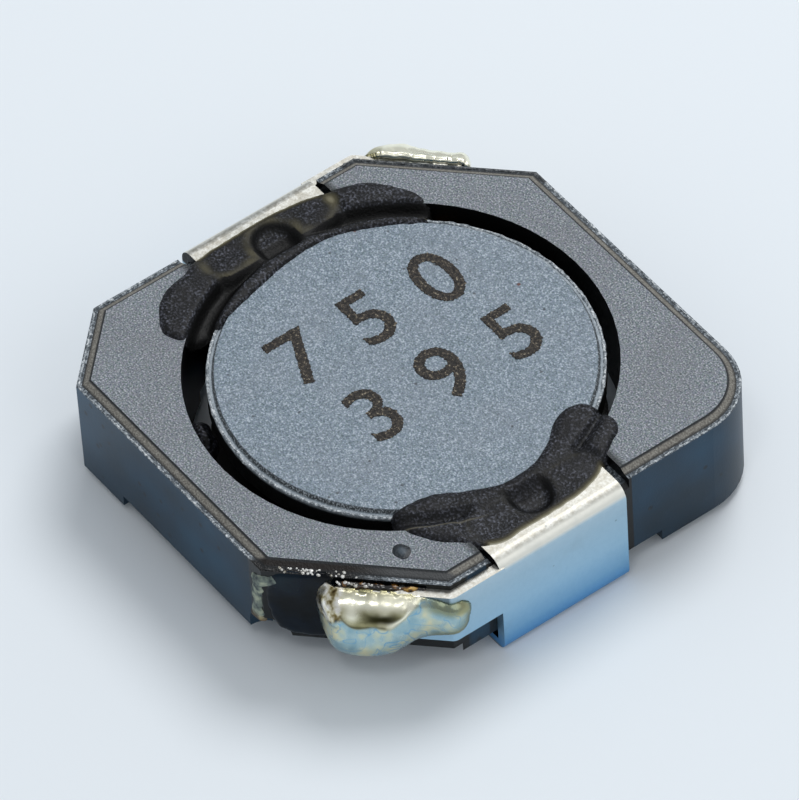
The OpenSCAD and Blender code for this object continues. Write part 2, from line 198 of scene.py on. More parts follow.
    up = add(tree, "MapRange", {"Value": upward, "From Min": 0.35, "From Max": 0.6})
    tree.links.new(add(tree, "Mix", {"Factor": up, "A": wall, "B": top}, data_type="RGBA"),
                   shader.inputs["Base Color"])
    gloss = add(tree, "Math", {0: up, 1: rosin_and_shade_band}, operation="SUBTRACT")
    tree.links.new(add(tree, "MapRange", {"Value": gloss, "From Min": -1.0, "From Max": 1.0,
                                          "To Min": 0.2, "To Max": 0.62}), shader.inputs["Roughness"])
    depth = add(tree, "MapRange", {"Value": up, "To Min": 0.15, "To Max": 1.0})
    tree.links.new(add(tree, "Bump", {"Height": powder, "Distance": 0.02 * MM, "Strength": depth}),
                   shader.inputs["Normal"])
    return material


def finish_node(name, material):
    """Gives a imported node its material."""
    nodes[name].data.materials.clear()
    nodes[name].data.materials.append(material)


finish_node("shield_core", pressed_ferrite())

# --- Edge crumbs -----------------------------------------------------------------------------
# The press leaves a burr of loose grains sintered on to the outer edge of the ring's land: a thin,
# broken, bright line. Two runs go from one terminal's notch round to the other's.

burr_inset = 0.03 * MM
burr_radius = 0.026 * MM
burr_pitch = 0.03 * MM


def deselect():
    bpy.ops.object.select_all(action="DESELECT")


def apply_modifiers(piece):
    bpy.context.view_layer.objects.active = piece
    for modifier in list(piece.modifiers):
        bpy.ops.object.modifier_apply(modifier=modifier.name)


def roughen(piece, size, strength):
    """Pushes the surface in and out by noise of a given size, in the mesh's own units."""
    texture = bpy.data.textures.new("crumble", "CLOUDS")
    texture.noise_scale = size
    texture.noise_depth = 2
    push = piece.modifiers.new("crumble", "DISPLACE")
    push.texture = texture
    push.texture_coords = "LOCAL"
    push.strength = strength
    push.mid_level = 0.5
    apply_modifiers(piece)


def settle(piece, name, material, replaced=(), smooth_angle=180):
    """Ends a piece that was shaped in millimetres: it is scaled to metres at the origin and gets
    its name, finish and body, and the nodes that it stands for are hidden."""
    deselect()
    piece.select_set(True)
    bpy.context.view_layer.objects.active = piece
    bpy.ops.object.transform_apply(location=True, rotation=True, scale=True)
    piece.data.transform(Matrix.Scale(MM, 4))
    piece.name = name
    piece.data.name = name
    piece.data.materials.clear()
    piece.data.materials.append(material)
    bpy.ops.object.shade_smooth_by_angle(angle=math.radians(smooth_angle))
    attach(piece, "root")
    if replaced:
        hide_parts(*replaced)
    deselect()


def edge_run(side):
    """Corners of one run in metres: side 1 starts at the +X notch, side -1 at the other."""
    x, y = ring_x - burr_inset, ring_y - burr_inset
    if side > 0:
        reach = mark_radius - burr_inset
        arc = [(ring_x - mark_radius + reach * math.cos(math.radians(a)),
                ring_y - mark_radius + reach * math.sin(math.radians(a))) for a in range(0, 91, 6)]
        return [(x, notch_half)] + arc + [(lead_corner - x, y), (-x, y - lead_corner), (-x, notch_half)]
    return [(-x, -notch_half), (-x, plain_corner - y), (plain_corner - x, -y), (x - lead_corner, -y),
            (x, lead_corner - y), (x, -notch_half)]


def crumbly_edge(name, side):
    """A thin wire along one run whose girth comes and goes, roughened into grains."""
    curve = bpy.data.curves.new(name, "CURVE")
    curve.dimensions = "3D"
    points = []
    run = edge_run(side)
    for start, end in zip(run, run[1:]):
        count = max(1, round(math.dist(start, end) / burr_pitch))
        for k in range(count):
            points.append([(a + (b - a) * k / count) / MM for a, b in zip(start, end)])
    spline = curve.splines.new("POLY")
    spline.points.add(len(points) - 1)
    for point, (x, y) in zip(spline.points, points):
        point.co = (x, y, land_z / MM, 1)
        point.radius = 0.55 + 0.9 * noise.noise(Vector((x, y, 0.3)) * 6)
    curve.bevel_depth = burr_radius / MM
    curve.bevel_resolution = 2
    curve.use_fill_caps = True
    piece = bpy.data.objects.new(name, curve)
    scene.collection.objects.link(piece)
    deselect()
    piece.select_set(True)
    bpy.context.view_layer.objects.active = piece
    bpy.ops.object.convert(target="MESH")
    piece = bpy.context.object
    roughen(piece, 0.06, 0.06)
    settle(piece, name, burr_material, smooth_angle=35)


def crumbled_ferrite():
    # Grains of the same ceramic standing loose: grey, but each one catches the light. Rosin has
    # blackened them on the lead corners: past the solder in front, and all along behind.
    material, tree, shader, place = new_material("crumbled_ferrite", roughness=0.4, ior=1.6)
    grains = add(tree, "TexNoise", {"Vector": place, "Scale": 1 / (0.06 * MM), "Detail": 3.0,
                                    "Roughness": 0.75})
    colour = add(tree, "ValToRGB", {"Fac": grains}, [(0.36, "#51595f"), (0.5, "#8a939a"), (0.64, "#e8ecee")])
    _, soot, behind = rosin_reach(tree, add(tree, "SeparateXYZ", {"Vector": place}).node.outputs)
    soot = add(tree, "Math", {0: soot, 1: behind}, operation="MAXIMUM")
    tree.links.new(add(tree, "Mix", {"Factor": soot, "A": colour, "B": "#0b0d0f"}, data_type="RGBA"),
                   shader.inputs["Base Color"])
    tree.links.new(add(tree, "Bump", {"Height": grains, "Distance": 0.02 * MM}), shader.inputs["Normal"])
    return material


burr_material = crumbled_ferrite()
crumbly_edge("edge_crumbs_right", 1)
crumbly_edge("edge_crumbs_left", -1)

# --- Drum core -------------------------------------------------------------------------------
# A ferrite bobbin, ground flat on top after sintering, with a pressed land and a shallow step
# round its rim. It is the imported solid, with its finish, and a crumbly rim of its own.

drum_low, drum_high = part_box("drum_core")
drum_top = drum_high.z
drum_middle = (drum_low + drum_high) / 2
drum_radius = (drum_high.x - drum_low.x) / 2
drum_step = 0.10 * MM
rim_burr = 0.03 * MM


def ground_ferrite():
    # The same ceramic ground by a wheel: a finer grain of about 0.01 mm, drawn at 0.034, a bluish
    # sheen, a scatter of small dark pores and a few rusty specks. The rim is as pressed, and the side
    # below its step is painted near-black as shade.
    material, tree, shader, place = new_material("ground_ferrite", roughness=0.5, ior=1.45)
    height = add(tree, "SeparateXYZ", {"Vector": place}).node.outputs["Z"]
    fine = add(tree, "TexNoise", {"Vector": place, "Scale": 1 / (0.034 * MM), "Detail": 1.0})
    clouds = add(tree, "TexNoise", {"Vector": place, "Scale": 1 / (1.1 * MM), "Detail": 2.0})
    veil = add(tree, "MapRange", {"Value": clouds, "From Min": 0.4, "From Max": 0.7, "To Max": 0.18})
    pores = add(tree, "TexVoronoi", {"Vector": place, "Scale": 1 / (0.42 * MM)})
    pores = add(tree, "MapRange", {"Value": pores, "From Min": 0.09, "From Max": 0.045, "To Max": 0.75})
    rust = add(tree, "TexVoronoi", {"Vector": place, "Scale": 1 / (1.7 * MM)})
    rust = add(tree, "MapRange", {"Value": rust, "From Min": 0.028, "From Max": 0.018})

    step = add(tree, "MapRange", {"Value": height, "From Min": drum_top - drum_step, "From Max": drum_top})
    rim = add(tree, "ValToRGB", {"Fac": step}, [(0.0, "#8d979f"), (0.12, "#6b747b"), (0.3, "#2e3336"),
                                                (0.75, "#3f4447"), (0.92, "#59626a"), (1.0, "#ffffff")])
    glitter = add(tree, "MapRange", {"Value": fine, "From Min": 0.5, "From Max": 0.68, "To Max": 0.7})
    rim = add(tree, "Mix", {"Factor": glitter, "A": rim, "B": "#b4bdc4"}, data_type="RGBA")
    on_rim = add(tree, "MapRange", {"Value": height, "From Min": drum_top - 0.003 * MM,
                                    "From Max": drum_top - 0.01 * MM})
    # Painted shade: the drum's side below the step is near-black.
    below = add(tree, "MapRange", {"Value": height, "From Min": drum_top - drum_step - 0.01 * MM,
                                   "From Max": drum_top - drum_step - 0.08 * MM})

    colour = add(tree, "ValToRGB", {"Fac": fine},
                 [(0.25, "#424e59"), (0.42, "#63727f"), (0.57, "#768795"), (0.72, "#a9b8c4")])
    for mask, layer in ((0.07, fine.node.outputs["Color"]), (veil, "#83868f"), (pores, "#262b2f"),
                        (rust, "#57332d"), (on_rim, rim), (below, "#040505")):
        colour = add(tree, "Mix", {"Factor": mask, "A": colour, "B": layer}, data_type="RGBA")
    tree.links.new(colour, shader.inputs["Base Color"])
    tree.links.new(add(tree, "Bump", {"Height": fine, "Distance": 0.009 * MM}), shader.inputs["Normal"])
    return material


finish_node("drum_core", ground_ferrite())

deselect()
bpy.ops.mesh.primitive_torus_add(location=drum_middle / MM, major_radius=(drum_radius - rim_burr) / MM,
                                 minor_radius=rim_burr / MM, major_segments=700, minor_segments=8)
rim_crumbs = bpy.context.object
rim_crumbs.location.z = (drum_top - drum_step) / MM
roughen(rim_crumbs, 0.08, 0.07)
settle(rim_crumbs, "rim_crumbs", burr_material, smooth_angle=35)

# --- Marking ---------------------------------------------------------------------------------
# Two rows of plain digits burned into the drum's top by a laser. The beam leaves a dark brown,
# grainy track with ragged edges, almost level with the ferrite.

digit_rows = [("750", -1.27, 0.24), ("395", 0.74, 0.53)]     # digits, and the row's place in mm
digit_pitch = 1.61
digit_size = 1.9
digit_weight = 0.008
digit_thick = 0.12
digit_flatten = 0.2


def laser_track():
    # Ferrite melted and oxidised by the beam: brown-black glass with light grains left in it.
    material, tree, shader, place = new_material("laser_track", roughness=0.5, ior=1.4)
    grains = add(tree, "TexNoise", {"Vector": place, "Scale": 1 / (0.06 * MM), "Detail": 3.0,
                                    "Roughness": 0.8})
    tree.links.new(add(tree, "ValToRGB", {"Fac": grains},
                       [(0.34, "#0a0807"), (0.5, "#211d19"), (0.6, "#4a4238"), (0.7, "#b0a58f")]),
                   shader.inputs["Base Color"])
    tree.links.new(add(tree, "Bump", {"Height": grains, "Distance": 0.03 * MM}), shader.inputs["Normal"])
    return material


def burned_digit(digit, x, y, name):
    """One digit, upright towards -X, remeshed and roughened so that its edges are ragged."""
    deselect()
    bpy.ops.object.text_add()
    text = bpy.context.object
    text.data.body = digit
    text.data.size = digit_size
    text.data.align_x = "CENTER"
    text.data.align_y = "CENTER"
    text.data.offset = digit_weight
    text.data.extrude = digit_thick / 2
    bpy.ops.object.convert(target="MESH")
    piece = bpy.context.object
    melt = piece.modifiers.new("melt", "REMESH")
    melt.mode = "VOXEL"
    melt.voxel_size = 0.02
    roughen(piece, 0.045, 0.09)
    piece.data.transform(Matrix.Translation((x, y, drum_top / MM)) @ Matrix.Rotation(math.pi / 2, 4, "Z")
                         @ Matrix.Scale(digit_flatten, 4, (0, 0, 1)))
    settle(piece, name, track_material, smooth_angle=40)


track_material = laser_track()
for row, (digits, row_x, row_y) in enumerate(digit_rows):
    for column, digit in enumerate(digits):
        burned_digit(digit, row_x, row_y + (column - 1) * digit_pitch, f"digit_{row + 1}_{column + 1}")

# --- Winding ---------------------------------------------------------------------------------
# Round copper wire in clear enamel, wound in layers on the drum's post, with an end led out
# through the ring at each lead corner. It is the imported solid; little of it shows.


def enamelled_copper():
    # Copper under a thin polyurethane lacquer: a warm metal with a hard gloss, mottled lighter and
    # darker.
    material, tree, shader, place = new_material("enamelled_copper", roughness=0.3, metallic=1.0, coat=0.7)
    lacquer = add(tree, "TexNoise", {"Vector": place, "Scale": 1 / (0.5 * MM), "Detail": 2.0})
    tree.links.new(add(tree, "ValToRGB", {"Fac": lacquer}, [(0.3, "#8a4a22"), (0.7, "#b9703c")]),
                   shader.inputs["Base Color"])
    tree.links.new(add(tree, "Bump", {"Height": lacquer, "Distance": 0.01 * MM}), shader.inputs["Normal"])
    return material


finish_node("winding", enamelled_copper())

# --- Terminals -------------------------------------------------------------------------------
# Two strips of phosphor bronze, stamped, tinned and folded round the ring. Each hooks over the
# top with a slotted lip and reaches round a corner with the ear that the wire is soldered to.

front_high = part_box("terminal_front")[1]
lip_z = front_high.z
sheet = 0.2 * MM
strip_low_y = -1.5 * MM
strip_high_y = front_high.y


def tin_plate():
    # Reflowed tin on bronze strip: a soft white metal, finely frosted, grey-white where it lies
    # flat, with a painted cream highlight at the bend and a painted blue reflection of the floor down
    # its faces, with faint smudges, grey specks and a scuffed brown foot.
    material, tree, shader, place = new_material("tin_plate", roughness=0.3, metallic=1.0)
    part = add(tree, "SeparateXYZ", {"Vector": place}).node.outputs
    height = part["Z"]
    facing = add(tree, "TexCoord").node.outputs["Normal"]
    normal = add(tree, "SeparateXYZ", {"Vector": facing}).node.outputs
    level = add(tree, "MapRange", {"Value": height, "From Min": 0.0, "From Max": lip_z})
    # Painted highlight: the bend is cream.
    bend_highlight = add(tree, "MapRange", {"Value": normal["Z"], "From Min": 0.2, "From Max": 0.45})
    up = add(tree, "MapRange", {"Value": normal["Z"], "From Min": 0.78, "From Max": 0.95})
    frost = add(tree, "TexNoise", {"Vector": place, "Scale": 1 / (0.1 * MM), "Detail": 3.0,
                                   "Roughness": 0.7})
    grained = add(tree, "ValToRGB", {"Fac": frost}, [(0.35, "#a3a096"), (0.5, "#b5b3ab"), (0.65, "#cfcfca")])
    smudge = add(tree, "TexNoise", {"Vector": place, "Scale": 1 / (0.9 * MM), "Detail": 3.0})
    smudge = add(tree, "MapRange", {"Value": smudge, "From Min": 0.5, "From Max": 0.7, "To Max": 0.22})
    specks = add(tree, "TexVoronoi", {"Vector": place, "Scale": 1 / (0.55 * MM)})
    specks = add(tree, "MapRange", {"Value": specks, "From Min": 0.055, "From Max": 0.03, "To Max": 0.45})

    # The cut sides of the lip are darkened, and the faces turned in towards the ring carry painted shade.
    sideways = add(tree, "Math", {0: normal["Y"]}, operation="ABSOLUTE")
    cut_side = add(tree, "MapRange", {"Value": sideways, "From Min": 0.6, "From Max": 0.8})
    lip_side = add(tree, "MapRange", {"Value": height, "From Min": lip_z - 0.42 * MM,
                                      "From Max": lip_z - 0.36 * MM})
    dark_sides = add(tree, "Math", {0: cut_side, 1: lip_side}, operation="MULTIPLY")
    end = add(tree, "Math", {0: part["X"]}, operation="SIGN")
    outwards = add(tree, "Math", {0: end, 1: normal["X"]}, operation="MULTIPLY")
    inward = add(tree, "MapRange", {"Value": outwards, "From Min": -0.4, "From Max": -0.8})
    dark_sides = add(tree, "Math", {0: dark_sides, 1: inward}, operation="MAXIMUM")

    # Rosin has crept into the joint between the ears' upper edge and the ring, and painted shade
    # darkens the same joint.
    across = add(tree, "Math", {0: part["X"], 1: part["Y"]}, operation="SUBTRACT")
    along = add(tree, "Math", {0: part["X"], 1: part["Y"]}, operation="ADD")
    along = add(tree, "Math", {0: along, 1: add(tree, "Math", {0: across}, operation="SIGN")},
                operation="MULTIPLY")
    across = add(tree, "Math", {0: across}, operation="ABSOLUTE")
    inner = add(tree, "MapRange", {"Value": across, "From Min": lead_line + 0.16 * MM,
                                   "From Max": lead_line + 0.12 * MM})
    ear_rosin_and_shade = add(tree, "Math", {0: inner, 1: up}, operation="MULTIPLY")
    covered = add(tree, "MapRange", {"Value": along, "From Min": lead_start - 1.1 * MM,
                                     "From Max": lead_start - 1.3 * MM})
    near_top = add(tree, "MapRange", {"Value": height, "From Min": 2.14 * MM, "From Max": 2.18 * MM})
    covered = add(tree, "Math", {0: covered, 1: near_top}, operation="MULTIPLY")
    ear_rosin_and_shade = add(tree, "Math", {0: ear_rosin_and_shade, 1: covered}, operation="MAXIMUM")
    off_lip = add(tree, "MapRange", {"Value": height, "From Min": lip_z - 0.20 * MM,
                                     "From Max": lip_z - 0.24 * MM})
    ear_rosin_and_shade = add(tree, "Math", {0: ear_rosin_and_shade, 1: off_lip}, operation="MULTIPLY")

    # Up the faces, a painted blue reflection of the floor, deepest low down, over a brown foot.
    colour = add(tree, "ValToRGB", {"Fac": level},
                 [(0.0, "#8b7a63"), (0.012, "#6f8ea6"), (0.04, "#5b9fd6"), (0.2, "#8cbcdd"),
                  (0.45, "#a6cae0"), (0.75, "#a9c6d7"), (0.95, "#b6ccd8")])
    for mask, layer in ((bend_highlight, "#f0efe6"), (up, grained), (smudge, "#8ba0ac"), (specks, "#55626a"),
                        (dark_sides, "#121416"), (ear_rosin_and_shade, "#17110d")):
        colour = add(tree, "Mix", {"Factor": mask, "A": colour, "B": layer}, data_type="RGBA")
    tree.links.new(colour, shader.inputs["Base Color"])
    tree.links.new(add(tree, "MapRange", {"Value": frost, "From Min": 0.3, "From Max": 0.7,
                                          "To Min": 0.4, "To Max": 0.55}), shader.inputs["Roughness"])
    tree.links.new(add(tree, "Bump", {"Height": frost, "Distance": 0.003 * MM}), shader.inputs["Normal"])
    return material


tin_material = tin_plate()
finish_node("terminal_front", tin_material)
finish_node("terminal_back", tin_material)

# --- Solder joints ---------------------------------------------------------------------------
# Hand-soldered tin-lead over each ear and wire end. The front one is a full lump that hangs over
# the ear's end, thins towards the face and carries a little burnt rosin; the back one is a low dome.

corner_start = Vector((ring_x / MM, (lead_corner - ring_y) / MM, 0))
along_corner = Vector((-math.sqrt(0.5), -math.sqrt(0.5), 0))
out_of_corner = Vector((math.sqrt(0.5), -math.sqrt(0.5), 0))
corner_length = lead_corner / MM * math.sqrt(2)
ear_length = 2.05
ear_foot = 1.10
ear_top = 2.30
ear_thick = sheet / MM
skirt = 0.09         # how far a poured skin dives past its outline
skirt_kept = 0.07    # how much of that is left when the rest of the grid is cut away
skirt_slope = 1.2


def closed_curve(points, samples=8):
    """A smooth closed curve through the points."""
    count = len(points)
    curve = []
    for i in range(count):
        p0, p1, p2, p3 = (np.array(points[(i + k) % count]) for k in (-1, 0, 1, 2))
        curve += [0.5 * (2 * p1 + (p2 - p0) * t + (2 * p0 - 5 * p1 + 4 * p2 - p3) * t * t
                         + (3 * p1 - p0 - 3 * p2 + p3) * t ** 3)
                  for t in np.linspace(0, 1, samples, endpoint=False)]
    return np.array(curve)


def inside_distance(x, y, outline):
    """How far each point lies inside the outline; negative outside."""
    nearest = np.full(x.shape, 1e9)
    inside = np.zeros(x.shape, bool)
    for (ax, ay), (bx, by) in zip(outline, np.roll(outline, -1, 0)):
        dx, dy = bx - ax, by - ay
        t = np.clip(((x - ax) * dx + (y - ay) * dy) / (dx * dx + dy * dy + 1e-12), 0, 1)
        nearest = np.minimum(nearest, np.hypot(x - ax - t * dx, y - ay - t * dy))
        crosses = (ay > y) != (by > y)
        inside ^= crosses & (x < ax + dx * (y - ay) / (dy if dy else 1e-12))
    return np.where(inside, nearest, -nearest)


def eased(value, low, high):
    """0 below low, 1 above high and a smooth rise between."""
    t = np.clip((value - low) / (high - low), 0, 1)
    return t * t * (3 - 2 * t)


def noise_field(x, y, size, seed=0.0):
    return np.array([noise.noise(Vector((a / size, b / size, seed)))
                     for a, b in zip(x.ravel(), y.ravel())]).reshape(x.shape)


def poured(outline, lay, crown, edge, step, wall=0.06, ragged=0.02, seed=0.0, marks=()):
    """A skin poured over a surface, in millimetres. It rises to crown within edge of the outline,
    and full is its rise as a share of crown. lay(x, y, rise, full) places the points of a grid of
    that step, and marks are attributes worked out from x and y."""
    curve = closed_curve(outline)
    low, high = curve.min(0) - 0.15, curve.max(0) + 0.15
    across, up = (int(math.ceil(n / step)) for n in high - low)
    deselect()
    bpy.ops.mesh.primitive_grid_add(x_subdivisions=across, y_subdivisions=up, size=1)
    piece = bpy.context.object
    count = len(piece.data.vertices)
    co = np.empty(count * 3)
    piece.data.vertices.foreach_get("co", co)
    co = co.reshape(-1, 3)
    order = np.lexsort((np.round(co[:, 0], 5), np.round(co[:, 1], 5)))
    x = (low[0] + (co[order, 0] + 0.5) * (high[0] - low[0])).reshape(up + 1, across + 1)
    y = (low[1] + (co[order, 1] + 0.5) * (high[1] - low[1])).reshape(up + 1, across + 1)
    depth = inside_distance(x, y, curve) + ragged * noise_field(x, y, 0.16, seed)
    film = np.clip(depth / edge, 0, 1)
    full = np.sqrt(1 - (1 - film) ** 2)
    rise = crown * full + skirt_slope * np.clip(depth, -skirt, 0)
    placed = np.empty_like(co)
    placed[order] = lay(x, y, rise, full).reshape(-1, 3)
    piece.data.vertices.foreach_set("co", placed.ravel())
    for name, field in [("film", film)] + [(name, formula(x, y)) for name, formula in marks]:
        values = np.empty(count)
        values[order] = field.ravel()
        piece.data.attributes.new(name, "FLOAT", "POINT").data.foreach_set("value", values)
    outside = np.empty(count, bool)
    outside[order] = (depth < -skirt_kept).ravel()
    piece.data.update()
    bpy.ops.object.mode_set(mode="EDIT")
    bpy.ops.mesh.select_mode(type="VERT")
    bpy.ops.mesh.select_all(action="DESELECT")
    bpy.ops.object.mode_set(mode="OBJECT")
    piece.data.vertices.foreach_set("select", outside)
    bpy.ops.object.mode_set(mode="EDIT")
    bpy.ops.mesh.delete(type="VERT")
    bpy.ops.object.mode_set(mode="OBJECT")
    back = piece.modifiers.new("back", "SOLIDIFY")
    back.thickness = wall
    back.offset = -1
    apply_modifiers(piece)
    return piece


def on_corner(u, out, z):
    """Points on the front lead corner: u along it from the terminal, out of it, and height. Before
    the corner they lie on the terminal's face, and past its far end they turn on to the long wall."""
    before = np.minimum(u, 0)
    along = np.clip(u, 0, corner_length)
    past = np.maximum(u - corner_length, 0)
    turns = eased(u, -0.06, 0.06) + eased(u, corner_length - 0.06, corner_length + 0.06)
    turn = np.radians(-45 * turns)
    x = corner_start.x + along_corner.x * along - past + np.cos(turn) * out
    y = corner_start.y + along_corner.y * along - before + np.sin(turn) * out
    return np.stack([x, y, z], -1)


def over_ear(u, z):
    """How far the surface under the solder stands out: the ear, and the ring beyond it."""
    past_end = eased(u, ear_length - 0.05, ear_length + 0.3)
    return ear_thick * (1 - past_end) * eased(z, ear_foot - 0.4, ear_foot)


def swelling(u, z, lumps):
    """Sum of round swells, each a place along the corner, a height, two sizes and how much it adds."""
    return sum(much * np.exp(-((u - at) / wide) ** 2 - ((z - high) / tall) ** 2)
               for at, high, wide, tall, much in lumps)


front_outline = [(-0.14, 1.88), (0.05, 2.03), (0.40, 2.12), (0.70, 2.18), (1.10, 2.20), (1.60, 2.20),
                 (2.05, 2.20), (2.28, 2.14), (2.37, 1.85), (2.35, 1.45), (2.27, 1.15), (2.08, 0.93),
                 (1.80, 0.82), (1.50, 0.82), (1.15, 0.93), (0.82, 1.17), (0.52, 1.36), (0.22, 1.43),
                 (-0.04, 1.50)]
front_lumps = [(2.22, 2.03, 0.09, 0.09, 0.05), (2.06, 1.88, 0.09, 0.08, 0.03),
               (2.27, 1.80, 0.09, 0.10, 0.04), (2.02, 2.08, 0.07, 0.07, 0.03),
               (1.20, 1.96, 0.42, 0.13, -0.05), (1.60, 1.35, 0.50, 0.30, 0.06)]
back_outline = [(0.18, 1.95), (0.35, 2.22), (0.75, 2.30), (1.20, 2.28), (1.70, 2.26), (2.04, 2.26),
                (2.10, 2.10), (2.08, 1.70), (1.98, 1.30), (1.70, 1.00), (1.20, 0.85), (0.75, 0.90),
                (0.40, 1.15), (0.18, 1.55)]
back_lumps = [(0.78, 2.05, 0.40, 0.35, 0.14), (1.55, 1.50, 0.35, 0.35, 0.10)]


def front_lay(u, z, rise, full):
    swell = 0.14 + 0.86 * eased(u, 0.30, 1.10)
    out = over_ear(u, z) + np.where(rise > 0, rise * swell, rise) + full * swelling(u, z, front_lumps)
    return on_corner(u, out, z)


def back_lay(u, z, rise, full):
    out = over_ear(u, z) + rise + full * swelling(u, z, back_lumps)
    return on_corner(u, out, z) * (-1, -1, 1)


def tide(u):
    """Height of the line between rosin-tinted solder and bare solder under a painted blue reflection,
    which climbs along the ear.
    """
    return 1.78 + 0.13 * np.exp(-((u - 1.97) / 0.14) ** 2) + 0.38 * eased(u, 1.10, 0.50)


def warmth(u, z):
    return eased(z + 0.03 * noise_field(u, z, 0.3) - tide(u), -0.02, 0.03) * eased(u, 0.38, 0.48)


def dark_reflection_and_shade(u, z):
    """Painted dark reflection in the hollow below the ridge, and painted shade in a seam
    under it and a pocket at the lumpy end.
    """
    hollow = np.exp(-((u - 1.20) / 0.36) ** 4 - ((z - 1.96) / 0.10) ** 4)
    seam = np.exp(-((z - tide(u) - 0.02) / 0.025) ** 2) * eased(u, 1.02, 1.15)
    pocket = np.exp(-((u - 2.20) / 0.08) ** 2 - ((z - 1.80) / 0.07) ** 2)
    return np.clip(hollow + 0.8 * seam + 0.8 * pocket, 0, 1)


def painted_highlights(u, z):
    """Painted highlights: the ridge, a sheet of light below it, and a streak down across the ear."""
    ridge = np.exp(-((z - 2.15 - 0.01 * noise_field(u, z, 0.5)) / 0.06) ** 2) * eased(u, 0.6, 0.75)
    sheet_of_light = np.exp(-((u - 1.76) / 0.13) ** 2 - ((z - 2.02) / 0.11) ** 2)
    streak = np.exp(-((z - tide(u) - 0.06) / 0.04) ** 2) * eased(u, 0.42, 0.52) * eased(u, 1.14, 1.02)
    return np.clip(ridge + sheet_of_light + streak, 0, 1)


def olive_thin_end(u, z):
    """The thin end beside the terminal's face, whose rim is olive."""
    return eased(u, 0.6, 0.2)


def lumpiness(u, z):
    """The far end, where the solder froze in small lumps with burnt rosin between them."""
    return eased(u, 1.90, 2.02) * eased(z, 1.72, 1.82)


def back_dome(u, z):
    """All of the joint behind is tinted."""
    return np.ones(u.shape)


def back_painted_highlight(u, z):
    """A painted highlight on the dome's upper edge, beside the ring."""
    return eased(z, 2.02, 2.12) * eased(u, 0.35, 0.6)


def tin_lead():
    # Tin-lead solder, a soft mirror. Rosin tints its upper half yellow-grey, with brown dots at the
    # lumpy end among painted highlights, and over it lie a painted dark reflection with painted shade
    # and painted highlights. Below that, and out on the ear, it carries a painted pale blue reflection
    # of the floor with cream patches and fine blue lines of painted reflection, and an olive rim at
    # its thin end.
    material, tree, shader, place = new_material("tin_lead", roughness=0.2, metallic=1.0)
    film, warm, painted_dark, painted_highlight, lumpy, olive_end = (
        add(tree, "Attribute", attribute_name=name).node.outputs["Fac"]
        for name in ("film", "warm", "painted_dark", "painted_highlight", "lumpy", "olive_end"))
    patches = add(tree, "TexNoise", {"Vector": place, "Scale": 1 / (0.42 * MM), "Detail": 2.0})
    fine = add(tree, "TexNoise", {"Vector": place, "Scale": 1 / (0.2 * MM), "Detail": 2.0})
    # Blue lines of painted reflection, along a noise's contours.
    reflected_lines = add(tree, "TexNoise", {"Vector": place, "Scale": 1 / (0.55 * MM), "Detail": 1.0,
                                   "Distortion": 1.2})
    off_reflected_line = add(tree, "Math", {0: reflected_lines, 1: 0.5}, operation="SUBTRACT")
    off_reflected_line = add(tree, "Math", {0: off_reflected_line}, operation="ABSOLUTE")
    painted_reflected_lines = add(tree, "MapRange", {"Value": off_reflected_line, "From Min": 0.02, "From Max": 0.004, "To Max": 0.55})
    # An olive rim at the thin end.
    rim = add(tree, "MapRange", {"Value": film, "From Min": 0.3, "From Max": 0.08, "To Max": 0.8})
    rim = add(tree, "Math", {0: rim, 1: olive_end}, operation="MULTIPLY")
    # A painted pale blue reflection of the floor, with cream patches, blue lines of painted reflection and
    # an olive rim at the thin end.
    cool = add(tree, "ValToRGB", {"Fac": patches}, [(0.36, "#93b3bd"), (0.5, "#aac3c6"), (0.57, "#c3cfbf"),
                                                    (0.66, "#dcd9b8")])
    for mask, stain in ((painted_reflected_lines, "#569fce"), (rim, "#8b8d68")):
        cool = add(tree, "Mix", {"Factor": mask, "A": cool, "B": stain}, data_type="RGBA")
    # The lumpy end: cream with painted highlights, and brown dots of rosin.
    lumps = add(tree, "ValToRGB", {"Fac": fine}, [(0.34, "#3a2c16"), (0.42, "#94855a"), (0.5, "#dcd5bb"),
                                                  (0.62, "#fbf8f0")])
    gold = add(tree, "ValToRGB", {"Fac": patches}, [(0.35, "#8b8761"), (0.55, "#a9a37b"), (0.68, "#d3cdac")])
    # Painted on the rosin tint: a dark reflection with shade, highlights, and the lumpy end.
    for mask, layer in ((painted_dark, "#2c2a17"), (painted_highlight, "#fffce6"), (lumpy, lumps)):
        gold = add(tree, "Mix", {"Factor": mask, "A": gold, "B": layer}, data_type="RGBA")
    tree.links.new(add(tree, "Mix", {"Factor": warm, "A": cool, "B": gold}, data_type="RGBA"),
                   shader.inputs["Base Color"])
    tree.links.new(add(tree, "MapRange", {"Value": patches, "From Min": 0.35, "From Max": 0.7,
                                          "To Min": 0.2, "To Max": 0.36}), shader.inputs["Roughness"])
    waves = add(tree, "Bump", {"Height": patches, "Distance": 0.012 * MM})
    tree.links.new(add(tree, "Bump", {"Height": fine, "Distance": 0.008 * MM, "Normal": waves}),
                   shader.inputs["Normal"])
    return material


solder_material = tin_lead()
joint = poured(front_outline, front_lay, crown=0.36, edge=0.46, step=0.022, wall=0.12, ragged=0.02,
               seed=3.0, marks=[("warm", warmth), ("painted_dark", dark_reflection_and_shade), ("painted_highlight", painted_highlights),
                                ("lumpy", lumpiness), ("olive_end", olive_thin_end)])
settle(joint, "joint_front", solder_material, ["solder_front"])
joint = poured(back_outline, back_lay, crown=0.33, edge=0.42, step=0.025, wall=0.12, ragged=0.03,
               seed=6.0, marks=[("warm", back_dome), ("painted_highlight", back_painted_highlight)])
settle(joint, "joint_back", solder_material, ["solder_back"])

# --- Epoxy -----------------------------------------------------------------------------------
# Filled black epoxy, put on by hand in two beads that tie lip, ring and drum together. It sinks
# into the gap, the notch and the lip's slot, and thins to a brown film on the tin.

